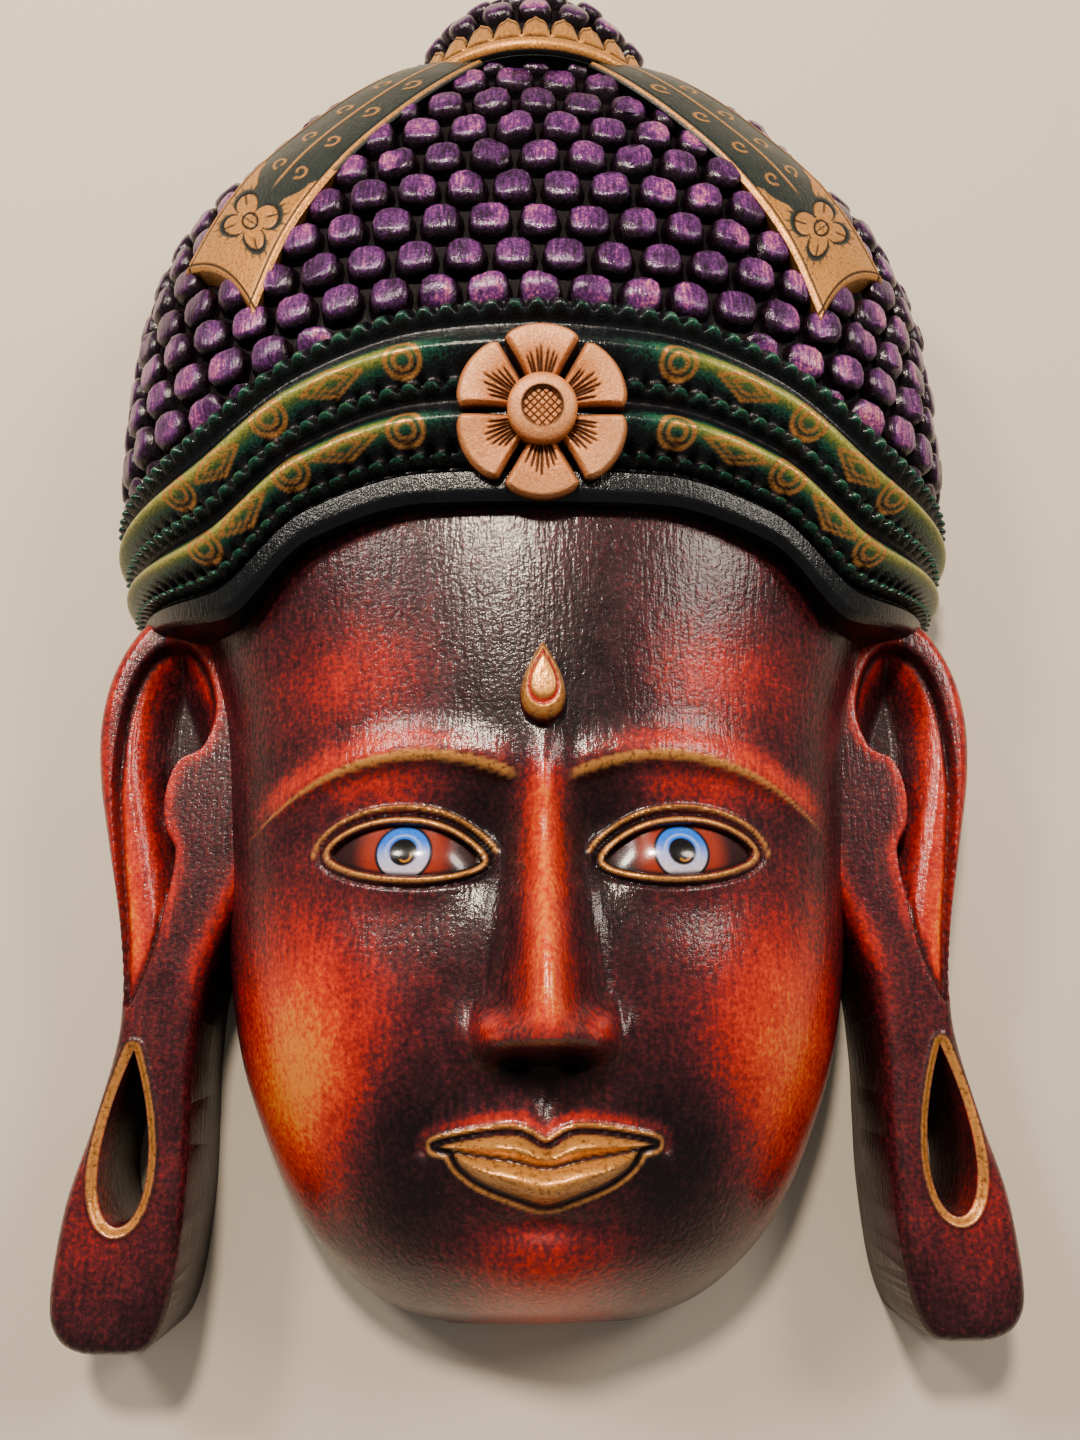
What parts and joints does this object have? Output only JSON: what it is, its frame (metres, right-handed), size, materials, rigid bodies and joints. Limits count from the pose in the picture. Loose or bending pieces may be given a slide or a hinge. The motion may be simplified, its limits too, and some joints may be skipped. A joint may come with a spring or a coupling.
{
  "type": "carved wooden wall mask of a buddha head",
  "caption": "Carved and painted wooden Buddha head wall mask with snail-curl hair, crown knot, diadem band, flower rosette and long pierced ear lobes, hollow behind.",
  "frame": {"origin": "under the middle of the mask's bounding box, on the flat back plane", "axes": "+Z out of the face, +Y from the chin to the crown knot, +X to the viewer's right"},
  "size_m": [0.3202, 0.52, 0.1184],
  "materials": {
    "lacquered_wood": "satin lacquer over dark stain, rubbed red and orange, with purple, green and gold paint"
  },
  "bodies": {
    "root": {"carved_mask": "lacquered_wood"}
  },
  "joints": []
}
